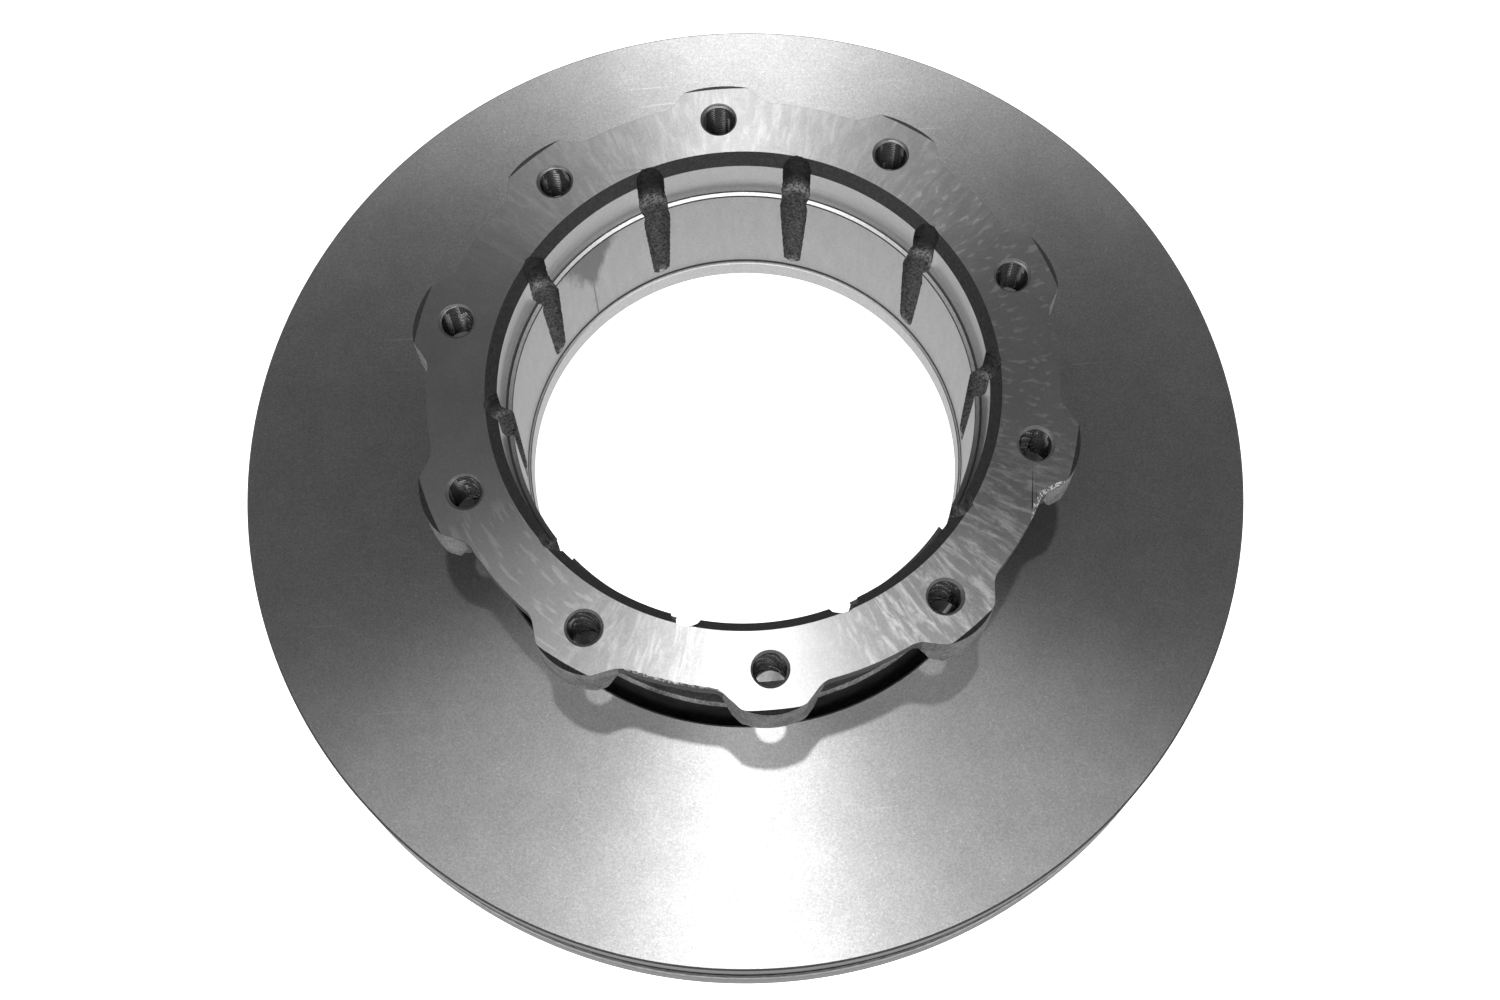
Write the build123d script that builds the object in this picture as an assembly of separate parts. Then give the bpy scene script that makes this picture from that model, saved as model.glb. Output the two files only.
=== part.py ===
from build123d import *
import math
import os

# Ventilated brake disc for a heavy road axle: one grey-iron casting with a deep neck and a
# lugged mounting flange. It lies on its far friction face, with its axis on +Z and the
# centre of that face's plane at the origin. All sizes are in millimetres.
# The casting is divided into its working zones, which meet face to face.

# Friction ring
DISC_R = 215.0              # outside radius of both friction plates
DISC_T = 45.0               # over the two friction faces
FAR_PLATE_T = 16.0
NEAR_PLATE_T = 17.0
FAR_PLATE_IN_R = 120.0      # where the far plate meets the root of the neck
NEAR_PLATE_IN_R = 115.0     # inner rim of the plate on the flange side
RIM_BEVEL = 0.8             # turned break on the outer edge of a friction face
RIM_CAST_R = 2.5            # cast rounding on the vent side of the outer rims
INNER_CAST_R = 5.0          # cast rounding under the near plate's inner rim

# Cooling vanes
LONG_VANES = 20
VANE_IN_R = 123.0
SHORT_VANE_IN_R = 163.0
VANE_OUT_R = 211.0
VANE_IN_W = 7.0
VANE_OUT_W = 9.0

# Neck
NECK_R = 104.5              # outside radius of the barrel
COLLAR_R = 109.5            # outside radius under the flange, round the wider register
COLLAR_Z = 104.0
COLLAR_SLOPE = 12.0         # height of the slope between barrel and collar
BORE_R = 92.5               # long lower bore
LIP_TOP_R = 91.3            # narrow lip at the foot of the bore
LIP_R = 90.5
LIP_TOP_Z = 55.0
LIP_Z = 47.0
LIP_FILLET_R = 2.0
FOOT_IN_R = 116.0           # mouth of the flared foot, on the far side
FOOT_RELIEF = 2.0           # the foot stands back from the far friction face
ROOT_R = 108.5              # outside radius where the neck enters the friction ring
ROOT_TOP_Z = 50.0
ROOT_SHOULDER = 8.0         # height of the slope between barrel and root
ROOT_FILLET_R = 9.0
ROOT_SPLIT_Z = 58.5         # zone border: root of the neck to barrel

# Mounting flange
TOTAL_H = 139.5
FLANGE_T = 25.0             # at the lugs
FLANGE_SPLIT_Z = 105.0      # zone border: barrel to flange
FLANGE_FILLET_R = 8.0       # cast fillet under the flange
REGISTER_R = 96.7           # upper bore, which centres the disc on its hub
REGISTER_FOOT_Z = 127.0
REGISTER_CHAMFER = 4.3
LEDGE_R = 93.4              # the register's fillet ends here, above a short bevel
LEDGE_Z = 117.0
LEDGE_BEVEL = 0.9
VALLEY_R = 123.8            # cast outline between two lugs
WEB_T = 9.0                 # the flange is this thin between the bosses of the lugs
BOSS_HALF_W = 17.0          # half width of a lug's boss under the flange, at VALLEY_R
BOSS_ROOT_HALF_W = 12.0     # and at INSIDE_R, so that its sides converge towards the axis
LUGS = 10
LUG_TIP_R = 133.3
LUG_TIP_ARC_R = 27.7
LUG_CORNER_X = 12.4
LUG_FOOT_X = 22.8
LUG_FOOT_R = 118.7
LUG_CORNER_FILLET = 3.0
LUG_FOOT_FILLET = 9.0
LUG_TURNED_R = 131.0        # a turned 45-degree chamfer starts here on the flange face
LUG_EDGE_CAST_R = 2.8       # cast rounding along the lower edge of the flange
BLANK_MARGIN = 5.0          # the flange blank is this much larger than the lugs

# Ten tapped holes, M14 x 1.5, one in each lug. They run out through the flange's fillet.
BOLT_CIRCLE_R = 116.1
HOLE_DEPTH = 25.7
THREAD_MINOR_R = 6.19
HOLE_MOUTH_R = 7.5

# Ten cast grooves in the bore, midway between the holes
GROOVE_R = 5.9
GROOVE_AXIS_R = 95.6
GROOVE_STEP_Z = 117.0       # the deep upper stretch ends here
GROOVE_SLOPE_Z = 111.0      # the shallower lower stretch starts here
GROOVE_LOW_AXIS_R = 93.0
GROOVE_END_R = 3.8
GROOVE_END_AXIS_R = 91.5
GROOVE_END_Z = 63.8

PITCH = 360 / LUGS
VENT_Z0 = FAR_PLATE_T
VENT_Z1 = DISC_T - NEAR_PLATE_T
FLANGE_UNDER_Z = TOTAL_H - FLANGE_T
INSIDE_R = BORE_R / 2       # well inside the bore
OUTSIDE_R = DISC_R          # well outside the flange


def ring(inner_r, outer_r, z0, z1):
    """Plain ring between two heights."""
    corners = [(inner_r, 0, z0), (outer_r, 0, z0), (outer_r, 0, z1), (inner_r, 0, z1)]
    return revolve(make_face(Polyline(*corners, close=True)), Axis.Z)


def circle_edges(solid, radius, z):
    """The circular edges of a turned solid at a radius and a height."""
    picked = []
    for edge in solid.edges():
        middle = edge @ 0.5
        if abs(middle.Z - z) < 0.01 and abs(math.hypot(middle.X, middle.Y) - radius) < 0.01:
            picked.append(edge)
    return picked


def near_friction_plate():
    """Plate on the flange side: free inner rim, joined to the far plate by the vanes."""
    plate = ring(NEAR_PLATE_IN_R, DISC_R, VENT_Z1, DISC_T)
    plate = chamfer(circle_edges(plate, DISC_R, DISC_T), RIM_BEVEL)
    plate = chamfer(circle_edges(plate, NEAR_PLATE_IN_R, DISC_T), RIM_BEVEL)
    plate = fillet(circle_edges(plate, DISC_R, VENT_Z1), RIM_CAST_R)
    return fillet(circle_edges(plate, NEAR_PLATE_IN_R, VENT_Z1), INNER_CAST_R)


def far_friction_plate():
    """Plate on the far side, carried by the root of the neck."""
    plate = ring(FAR_PLATE_IN_R, DISC_R, 0, VENT_Z0)
    plate = chamfer(circle_edges(plate, DISC_R, 0), RIM_BEVEL)
    return fillet(circle_edges(plate, DISC_R, VENT_Z0), RIM_CAST_R)


def vane(inner_r, angle):
    """One straight radial web with rounded ends, a little wider at the rim."""
    inner_end = Pos(inner_r + VANE_IN_W / 2, 0) * Circle(VANE_IN_W / 2)
    outer_end = Pos(VANE_OUT_R - VANE_OUT_W / 2, 0) * Circle(VANE_OUT_W / 2)
    plan = make_hull((inner_end + outer_end).edges())
    return Rot(0, 0, angle) * Pos(0, 0, VENT_Z0) * extrude(plan, VENT_Z1 - VENT_Z0)


def hub_section():
    """Half section of neck and flange, from the foot up the bore and down the outside."""
    # Lower bore: flared foot, lip, long turned bore
    foot_mouth = (FOOT_IN_R, 0, FOOT_RELIEF)
    lip = (LIP_R, 0, LIP_Z)
    lip_top = (LIP_TOP_R, 0, LIP_TOP_Z)
    bore_foot = (BORE_R, 0, LIP_TOP_Z + LIP_FILLET_R)
    bore_top = (BORE_R, 0, LEDGE_Z - LEDGE_BEVEL)
    ledge = (LEDGE_R, 0, LEDGE_Z)
    # Register: a fillet leaves it straight down and ends at the ledge
    register_foot = (REGISTER_R, 0, REGISTER_FOOT_Z)
    register_top = (REGISTER_R, 0, TOTAL_H - REGISTER_CHAMFER)
    flange_in = (REGISTER_R + REGISTER_CHAMFER, 0, TOTAL_H)
    # Flange blank, wider than the lugs, with their turned chamfer
    blank_r = LUG_TIP_R + BLANK_MARGIN
    chamfer_in = (LUG_TURNED_R, 0, TOTAL_H)
    chamfer_out = (blank_r, 0, TOTAL_H - (blank_r - LUG_TURNED_R))
    under_out = (blank_r, 0, FLANGE_UNDER_Z)
    under_in = (COLLAR_R + FLANGE_FILLET_R, 0, FLANGE_UNDER_Z)
    collar_top = (COLLAR_R, 0, FLANGE_UNDER_Z - FLANGE_FILLET_R)
    # Outside of the neck: collar, barrel, shoulder, root, fillet into the far plate
    collar_foot = (COLLAR_R, 0, COLLAR_Z)
    slope_middle = ((COLLAR_R + NECK_R) / 2, 0, COLLAR_Z - COLLAR_SLOPE / 2)
    barrel_top = (NECK_R, 0, COLLAR_Z - COLLAR_SLOPE)
    shoulder_top = (NECK_R, 0, ROOT_TOP_Z + ROOT_SHOULDER)
    root_top = (ROOT_R, 0, ROOT_TOP_Z)
    root_foot = (ROOT_R, 0, VENT_Z0 + ROOT_FILLET_R)
    vent_in = (ROOT_R + ROOT_FILLET_R, 0, VENT_Z0)
    plate_top = (FAR_PLATE_IN_R, 0, VENT_Z0)
    plate_foot = (FAR_PLATE_IN_R, 0, FOOT_RELIEF)
    return [
        Polyline(foot_mouth, lip, lip_top),
        TangentArc(bore_foot, lip_top, tangent=(0, 0, -1)),
        Polyline(bore_foot, bore_top, ledge),
        TangentArc(register_foot, ledge, tangent=(0, 0, -1)),
        Polyline(register_foot, register_top, flange_in, chamfer_in, chamfer_out, under_out, under_in),
        TangentArc(collar_top, under_in, tangent=(0, 0, 1)),
        Line(collar_top, collar_foot),
        TangentArc(collar_foot, slope_middle, tangent=(0, 0, -1)),
        TangentArc(barrel_top, slope_middle, tangent=(0, 0, 1)),
        Line(barrel_top, shoulder_top),
        TangentArc(shoulder_top, root_top, tangent=(0, 0, -1)),
        Line(root_top, root_foot),
        TangentArc(root_foot, vent_in, tangent=(0, 0, -1)),
        Polyline(vent_in, plate_top, plate_foot, foot_mouth),
    ]


def lug_plan():
    """Plan of one lug on the +X side: curved tip, two sloping flanks, down to its foot."""
    corner_x = math.sqrt(LUG_TIP_ARC_R**2 - LUG_CORNER_X**2) + LUG_TIP_R - LUG_TIP_ARC_R
    low = (corner_x, -LUG_CORNER_X)
    high = (corner_x, LUG_CORNER_X)
    foot_low = (LUG_FOOT_R, -LUG_FOOT_X)
    foot_high = (LUG_FOOT_R, LUG_FOOT_X)
    tip = ThreePointArc(low, (LUG_TIP_R, 0), high)
    sides = Polyline(high, foot_high, foot_low, low)
    plan = make_face(tip + sides)
    corners = plan.vertices().filter_by(lambda v: v.X > VALLEY_R)
    return fillet(corners, LUG_CORNER_FILLET)


def flange_outline():
    """Cast outline of the flange: a circle with ten lugs, blended at their feet."""
    plan = Circle(VALLEY_R)
    for number in range(LUGS):
        plan += Rot(0, 0, 90 + number * PITCH) * lug_plan()
    plan = make_face(plan.face().outer_wire().edges())
    feet = plan.vertices().filter_by(lambda v: abs(math.hypot(v.X, v.Y) - VALLEY_R) < 0.01)
    return fillet(feet, LUG_FOOT_FILLET)


def boss(angle):
    """Block that covers one lug's boss, from the neck out past the lug."""
    outer = [(OUTSIDE_R, BOSS_HALF_W), (VALLEY_R, BOSS_HALF_W), (INSIDE_R, BOSS_ROOT_HALF_W)]
    mirrored = [(x, -y) for x, y in reversed(outer)]
    plan = make_face(Polyline(*outer, *mirrored, close=True))
    return Rot(0, 0, angle) * Pos(0, 0, FLANGE_SPLIT_Z) * extrude(plan, TOTAL_H - FLANGE_SPLIT_Z)


def pockets():
    """Cutter for the ten pockets under the flange, between the bosses."""
    web_z = TOTAL_H - WEB_T
    foot = (COLLAR_R, 0, FLANGE_SPLIT_Z)
    fillet_foot = (COLLAR_R, 0, web_z - FLANGE_FILLET_R)
    web_in = (COLLAR_R + FLANGE_FILLET_R, 0, web_z)
    section = [
        Line(foot, fillet_foot),
        TangentArc(fillet_foot, web_in, tangent=(0, 0, 1)),
        Polyline(web_in, (OUTSIDE_R, 0, web_z), (OUTSIDE_R, 0, FLANGE_SPLIT_Z), foot),
    ]
    trough = revolve(make_face(Curve() + section), Axis.Z)
    return trough - [boss(90 + number * PITCH) for number in range(LUGS)]


def disk(axis_r, z, radius):
    """Level disk whose centre is on the XZ plane."""
    return Pos(axis_r, 0, z) * Circle(radius)


def groove():
    """Cutter for one cast groove: deep and upright at the top, then shallow and tapered."""
    upper = extrude(disk(GROOVE_AXIS_R, GROOVE_STEP_Z, GROOVE_R), TOTAL_H - GROOVE_STEP_Z)
    bend = disk(GROOVE_LOW_AXIS_R, GROOVE_SLOPE_Z, GROOVE_R)
    step = loft([disk(GROOVE_AXIS_R, GROOVE_STEP_Z, GROOVE_R), bend], ruled=True)
    lower = loft([bend, disk(GROOVE_END_AXIS_R, GROOVE_END_Z, GROOVE_END_R)], ruled=True)
    tip = Pos(GROOVE_END_AXIS_R, 0, GROOVE_END_Z) * Sphere(GROOVE_END_R)
    return upper + step + lower + tip


def tapped_hole():
    """Cutter for one tapped hole at its thread's minor radius, with a chamfered mouth."""
    drill = extrude(disk(BOLT_CIRCLE_R, TOTAL_H - HOLE_DEPTH, THREAD_MINOR_R), HOLE_DEPTH)
    throat = disk(BOLT_CIRCLE_R, TOTAL_H - HOLE_MOUTH_R + THREAD_MINOR_R, THREAD_MINOR_R)
    mouth = loft([throat, disk(BOLT_CIRCLE_R, TOTAL_H, HOLE_MOUTH_R)], ruled=True)
    return drill + mouth


def around(cutter, start):
    """Ten copies of a cutter about Z."""
    return [Rot(0, 0, start + number * PITCH) * cutter for number in range(LUGS)]


def lower_rim_edges(flange):
    """The flange's outer edges at the height of its underside."""
    picked = []
    for edge in flange.edges():
        box = edge.bounding_box()
        level = box.max.Z - box.min.Z < 0.01 and abs(box.max.Z - FLANGE_UNDER_Z) < 0.01
        middle = edge @ 0.5
        if level and math.hypot(middle.X, middle.Y) > VALLEY_R - 0.01:
            picked.append(edge)
    return picked


def hub_zones():
    """Flange, barrel and root, cut from one turned blank along their borders."""
    blank = revolve(make_face(Curve() + hub_section()), Axis.Z)
    grooves = around(groove(), 90 + PITCH / 2)

    flange = blank & ring(INSIDE_R, OUTSIDE_R, FLANGE_SPLIT_Z, TOTAL_H)
    flange &= Pos(0, 0, FLANGE_SPLIT_Z) * extrude(flange_outline(), TOTAL_H - FLANGE_SPLIT_Z)
    flange = fillet(lower_rim_edges(flange), LUG_EDGE_CAST_R)
    flange = flange - pockets() - grooves - around(tapped_hole(), 90)

    barrel = blank & ring(INSIDE_R, OUTSIDE_R, ROOT_SPLIT_Z, FLANGE_SPLIT_Z)
    root = blank & ring(INSIDE_R, OUTSIDE_R, 0, ROOT_SPLIT_Z)
    return flange, barrel - grooves, root


def main():
    os.makedirs("parts", exist_ok=True)
    flange, barrel, root = hub_zones()
    nodes = {
        "mounting_flange": flange,
        "neck_barrel": barrel,
        "neck_root": root,
        "near_friction_plate": near_friction_plate(),
        "far_friction_plate": far_friction_plate(),
    }
    step = 360 / LONG_VANES
    for number in range(LONG_VANES):
        nodes[f"long_vane_{number + 1:02d}"] = vane(VANE_IN_R, number * step)
        nodes[f"short_vane_{number + 1:02d}"] = vane(SHORT_VANE_IN_R, (number + 0.5) * step)
    for name, shape in nodes.items():
        export_step(shape, f"parts/{name}.step")


main()
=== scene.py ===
import bmesh
import bpy
import math
from mathutils import Matrix, Vector, noise


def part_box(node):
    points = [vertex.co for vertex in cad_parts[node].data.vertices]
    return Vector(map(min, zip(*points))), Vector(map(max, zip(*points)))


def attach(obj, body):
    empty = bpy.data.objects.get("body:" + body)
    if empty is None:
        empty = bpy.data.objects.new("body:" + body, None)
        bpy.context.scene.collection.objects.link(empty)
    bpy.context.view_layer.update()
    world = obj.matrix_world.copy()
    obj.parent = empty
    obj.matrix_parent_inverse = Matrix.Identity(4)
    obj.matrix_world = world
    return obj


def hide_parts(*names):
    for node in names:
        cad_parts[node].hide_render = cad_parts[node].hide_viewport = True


# Ventilated brake disc with a deep neck and a lugged, tapped flange. It lies on its far friction
# face with its axis on +Z. Shapes are worked out in millimetres and written in metres.
# Each zone of the casting is one closed mesh, in place of the plain CAD node of that zone.

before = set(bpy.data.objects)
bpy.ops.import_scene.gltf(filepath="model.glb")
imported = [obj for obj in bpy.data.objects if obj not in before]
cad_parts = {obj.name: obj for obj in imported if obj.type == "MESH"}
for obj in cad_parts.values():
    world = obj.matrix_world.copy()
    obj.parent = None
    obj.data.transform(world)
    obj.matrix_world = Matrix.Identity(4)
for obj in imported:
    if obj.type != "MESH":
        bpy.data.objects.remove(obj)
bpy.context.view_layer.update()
MM = 0.001


def lowest(node):
    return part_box(node)[0].z / MM


def highest(node):
    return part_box(node)[1].z / MM


# Heights and the outside radius come from the frame
DISC_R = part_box("near_friction_plate")[1].x / MM
DISC_T = highest("near_friction_plate")
VENT_TOP = lowest("near_friction_plate")
VENT_FLOOR = highest("far_friction_plate")
ROOT_SPLIT = lowest("neck_barrel")
FLANGE_SPLIT = lowest("mounting_flange")
TOP = highest("mounting_flange")
FOOT_Z = lowest("neck_root")
FLANGE_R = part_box("mounting_flange")[1].y / MM

# Friction ring
NEAR_IN_R = 115.0           # inner rim of the plate on the flange side
FAR_IN_R = 120.0            # the far plate meets the neck's root here
RIM_BEVEL = 0.8
RIM_CAST_R = 2.5
NEAR_RIM_SHADE_Z = 35.5      # the near rim is turned above this height, with painted shade for the vent gap below it
RIM_SHADE_W = 9.0           # width of the painted shade along the edge of the far plate's vent floor
NEAR_RIM_CAST_R = 5.0
INNER_CAST_R = 5.0

# Cooling vanes
LONG_VANES = 20
VANE_IN_R = 123.0
SHORT_VANE_IN_R = 163.0
VANE_OUT_R = 211.0
VANE_IN_W = 7.0
VANE_OUT_W = 9.0
VANE_FILLET = 2.2

# Neck, outside
NECK_R = 104.5
COLLAR_R = 109.5
COLLAR_Z = 104.0
COLLAR_SLOPE = 12.0
ROOT_R = 108.5
ROOT_TOP = 50.0
ROOT_SHOULDER = 8.0
ROOT_FILLET = 9.0
LIT_SHOULDER_FOOT = 50.6        # painted light: the shoulder is paler between these heights, where bounce light falls
LIT_SHOULDER_TOP = 52.6

# Bore, from the foot up
FOOT_IN_R = 116.0
LIP_R = 90.5
LIP_Z = 47.0
LIP_TOP_R = 91.3
LIP_TOP = 55.0
LIP_FILLET = 2.0
BORE_R = 92.5
LEDGE_Z = 117.0
LEDGE_BEVEL = 0.9
LEDGE_STEP = 0.3            # the ledge's bright land starts this far out from the bore
LEDGE_LAND_R = 94.25        # and ends here, at the foot of the register's fillet
LEDGE_SLOPE = 0.2           # it falls this much towards the bore
REGISTER_BEND = 122.5       # the fillet leaves the register at this height
REGISTER_R = 96.7
REGISTER_CHAMFER = 4.3

# Flange and its ten lugs
LUGS = 10
PITCH = math.tau / LUGS
FIRST_HOLE = math.pi / 2
FLANGE_T = 25.0             # at the lugs
UNDER_Z = TOP - FLANGE_T
FLANGE_FILLET = 8.0
EDGE_CAST_R = 2.8
VALLEY_R = 123.8
WEB_T = 9.0                 # the flange is this thin between the bosses of the lugs
BOSS_HALF_W = 17.0
BOSS_ROOT_HALF_W = 12.0
BOSS_SLOPE_IN = 2.0         # a boss's side starts this far inside its half width
BOSS_SLOPE_OUT = 3.0        # and ends this far outside it
TIP_ARC_R = 27.7
LUG_CORNER_X = 12.4
LUG_FOOT = Vector((118.7, 22.8))
LUG_CORNER_FILLET = 3.0
LUG_FOOT_FILLET = 9.0
TURNED_R = 130.95           # the lugs' turned 45-degree chamfer starts here
EDGE_BREAK = 0.1            # elsewhere the face ends in a small broken edge
LEAST_MARK = 0.15           # a chamfer or burr narrower than this doesn't show
TURNING_CENTRE = Vector((0.2, -0.75))     # that chamfer runs a little out of true with the cast outline

# Tapped holes, M14 x 1.5
BOLT_CIRCLE_R = 116.1
THREAD_MINOR_R = 6.19
THREAD_MAJOR_R = 7.0
THREAD_PITCH = 1.5
HOLE_MOUTH_R = 7.5
HOLE_FLOOR = TOP - 25.7     # flat end, where the hole meets the thick collar
THREAD_CREST = 0.22         # share of a pitch's half that the flat crest takes
THREAD_FLANK = 0.66         # and the share that the flank takes
CREST_DEPTH = 0.12          # the wall counts as crest down to this depth

# Cast grooves in the bore
GROOVE_R = 5.9
GROOVE_AXIS_R = 95.6
GROOVE_STEP_Z = 117.0
GROOVE_SLOPE_Z = 111.0
GROOVE_LOW_AXIS_R = 93.0
GROOVE_END_R = 3.8
GROOVE_END_AXIS_R = 91.5
GROOVE_END_Z = 63.8
GROOVE_SEAM = math.radians(0.25)        # half width of the groove's columns below its end

# Marks in the bore
SEAM_ANGLE = math.radians(128.7)        # bearing of a fine seam down the bore
STAIN_FOOT = 80.0                       # height where the stain round it ends

# Cast skin: size and height of its swells and of its grain
SWELL_SIZE = 17.0
SWELL_HEIGHT = 0.22
GRAIN_SIZE = 3.2
GRAIN_HEIGHT = 0.14

# Edges at least this sharp show as edges: within one finish, and between two
SHARP = math.radians(28)
SHARP_BETWEEN = math.radians(12)

# Mesh density
ROUND = 480                 # columns round a cast wall
RIM_ROUND = 720             # columns round the friction plates
CAST_STEP = 1.4
GROOVE_STEPS = 18
LAND_STEPS = 36
HOLE_STEPS = 36
THREAD_ROWS = 8             # rows of mesh in one turn of thread
VALLEY_STEPS = 16
UNDER_ROWS = 12
EXIT_CENTRE_R = BOLT_CIRCLE_R + 2.5     # the underside's mesh spreads from here in each lug


# ---- shapes

def polar(radius, angle, z):
    return Vector((radius * math.cos(angle), radius * math.sin(angle), z))


def heading(angle):
    return Vector((math.cos(angle), math.sin(angle)))


def blend(a, b, share):
    return a + (b - a) * share


def ramp(value, low, high):
    """0 below low, 1 above high, smooth between."""
    share = min(max((value - low) / (high - low), 0.0), 1.0)
    return share * share * (3 - 2 * share)


def added(name, data):
    """A new object in the scene."""
    obj = bpy.data.objects.new(name, data)
    bpy.context.scene.collection.objects.link(obj)
    return obj


def skin(point):
    """Height of the cast skin over its nominal surface."""
    coarse = noise.noise(point / SWELL_SIZE)
    fine = noise.fractal(point / GRAIN_SIZE, 0.8, 2.1, 3)
    return SWELL_HEIGHT * coarse + GRAIN_HEIGHT * fine


def tangent_arc(start, tangent, end, steps):
    """Points after start, up to end, on the circle that leaves start along tangent. Section plane."""
    start, end = Vector(start), Vector(end)
    side = Vector((-tangent[1], tangent[0])).normalized()
    chord = end - start
    radius = chord.length_squared / (2 * chord.dot(side))
    centre = start + side * radius
    first = start - centre
    turn = first.angle_signed(end - centre)
    points = []
    for step in range(1, steps + 1):
        angle = -turn * step / steps
        c, s = math.cos(angle), math.sin(angle)
        points.append(centre + Vector((c * first.x - s * first.y, s * first.x + c * first.y)))
    return points


class Shell:
    """Gathers the loops and faces of one closed mesh. A loop is a list of point numbers."""

    def __init__(self):
        self.points = []
        self.faces = []
        self.finishes = []

    def loop(self, points):
        start = len(self.points)
        self.points.extend(points)
        return list(range(start, len(self.points)))

    def face(self, corners, finish):
        self.faces.append(corners)
        self.finishes.append(finish)

    def strip(self, low, high, finish):
        """Quads between two closed loops of equal length. finish is a name, or gives one by place."""
        for here in range(len(low)):
            after = (here + 1) % len(low)
            name = finish(here) if callable(finish) else finish
            self.face((low[here], low[after], high[after], high[here]), name)

    def zip(self, inner, outer, centre, finish):
        """Triangles between two closed loops of any length that run anticlockwise round a centre."""
        def unrolled(loop):
            pairs = []
            for number in loop:
                offset = self.points[number] - centre
                pairs.append((math.atan2(offset.y, offset.x) % math.tau, number))
            first = min(range(len(pairs)), key=lambda k: pairs[k][0])
            pairs = pairs[first:] + pairs[:first]
            return pairs + [(pairs[0][0] + math.tau, pairs[0][1])]

        a, b = unrolled(inner), unrolled(outer)
        i = j = 0
        while i < len(a) - 1 or j < len(b) - 1:
            if j == len(b) - 1 or (i < len(a) - 1 and a[i + 1][0] <= b[j + 1][0]):
                self.face((a[i][1], b[j][1], a[i + 1][1]), finish)
                i += 1
            else:
                self.face((a[i][1], b[j][1], b[j + 1][1]), finish)
                j += 1

    def build(self, name, nodes, slot):
        """Makes the object, with smooth faces and sharp edges between machined surfaces."""
        mesh = bpy.data.meshes.new(name)
        mesh.from_pydata([point * MM for point in self.points], [], self.faces)
        used = sorted(set(self.finishes))
        for finish in used:
            mesh.materials.append(MATERIALS[finish])
        mesh.polygons.foreach_set("material_index", [used.index(f) for f in self.finishes])
        work = bmesh.new()
        work.from_mesh(mesh)
        bmesh.ops.recalc_face_normals(work, faces=work.faces)
        rough = {number for number, finish in enumerate(used) if finish in ROUGH}
        for face in work.faces:
            face.smooth = True
        for edge in work.edges:
            mixed = len({face.material_index for face in edge.link_faces}) > 1
            cast = all(face.material_index in rough for face in edge.link_faces)
            limit = SHARP_BETWEEN if mixed else SHARP
            if len(edge.link_faces) == 2 and not cast and edge.calc_face_angle() > limit:
                edge.smooth = False
        work.to_mesh(mesh)
        work.free()
        obj = added(name, mesh)
        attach(obj, "root")
        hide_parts(*nodes)


ROUGH = ("cast", "web_edge", "shaded", "shoulder", "groove", "vane")


def refine(profile, closed=True):
    """Splits the cast stretches of a section into short steps, and adds each point's outward lift."""
    count = len(profile)
    stretches = []
    for number in range(count if closed else count - 1):
        r0, z0, finish = profile[number]
        r1, z1 = profile[(number + 1) % count][:2]
        length = math.hypot(r1 - r0, z1 - z0)
        steps = max(1, round(length / CAST_STEP)) if finish in ROUGH else 1
        side = Vector((z1 - z0, r0 - r1)) / length
        stretches.append((Vector((r0, z0)), Vector((r1, z1)), finish, steps, side))
    points = []
    for number, (start, end, finish, steps, side) in enumerate(stretches):
        before = stretches[number - 1] if closed or number else None
        for step in range(steps):
            lift = side if finish in ROUGH else Vector((0, 0))
            if step == 0 and before:
                both = [s for f, s in ((finish, side), (before[2], before[4])) if f in ROUGH]
                fixed = "hidden" not in (finish, before[2]) and len(both) < 2
                free = both and not fixed
                lift = sum(both, Vector((0, 0))).normalized() if free else Vector((0, 0))
            points.append((blend(start, end, step / steps), finish, lift))
    if not closed:
        _, end, finish, _, side = stretches[-1]
        points.append((end, None, side if finish in ROUGH else Vector((0, 0))))
    return points


def ring_loop(shell, section_point, lift, columns):
    """One turned loop. Where lift isn't zero, the cast skin moves it along lift."""
    points = []
    for column in range(columns):
        angle = math.tau * column / columns
        point = polar(section_point.x, angle, section_point.y)
        if lift.length:
            height = skin(point)
            point = polar(section_point.x + lift.x * height, angle, section_point.y + lift.y * height)
        points.append(point)
    return shell.loop(points)


def turned_shell(profile, columns):
    """A closed turned body from a closed section that runs with the metal on its left."""
    shell = Shell()
    section = refine(profile)
    loops = [ring_loop(shell, point, lift, columns) for point, _, lift in section]
    for number, (_, finish, _) in enumerate(section):
        shell.strip(loops[number], loops[(number + 1) % len(loops)], finish)
    return shell


def with_finish(points, finish):
    return [(point[0], point[1], finish) for point in points]


# ---- friction ring

def near_friction_plate():
    """Plate on the flange side, with a free inner rim."""
    rim_foot = (DISC_R, VENT_TOP + NEAR_RIM_CAST_R)
    rim_end = (DISC_R - NEAR_RIM_CAST_R, VENT_TOP)
    inner_start = (NEAR_IN_R + INNER_CAST_R, VENT_TOP)
    inner_end = (NEAR_IN_R, VENT_TOP + INNER_CAST_R)
    profile = [
        (NEAR_IN_R + RIM_BEVEL, DISC_T, "friction"),
        (DISC_R - RIM_BEVEL, DISC_T, "dark_bevel"),
        (DISC_R, DISC_T - RIM_BEVEL, "near_rim"),
        # below this height the near rim takes painted shade
        (DISC_R, NEAR_RIM_SHADE_Z, "rim_shade"),
        (*rim_foot, "rim_shade"),
        *with_finish(tangent_arc(rim_foot, (0, -1), rim_end, 5), "rim_shade"),
        (*inner_start, "cast"),
        *with_finish(tangent_arc(inner_start, (-1, 0), inner_end, 5), "cast"),
        (NEAR_IN_R, DISC_T - RIM_BEVEL, "bevel"),
    ]
    shell = turned_shell(profile, RIM_ROUND)
    shell.build("near_plate_iron", ["near_friction_plate"], "ground_friction")


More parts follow.
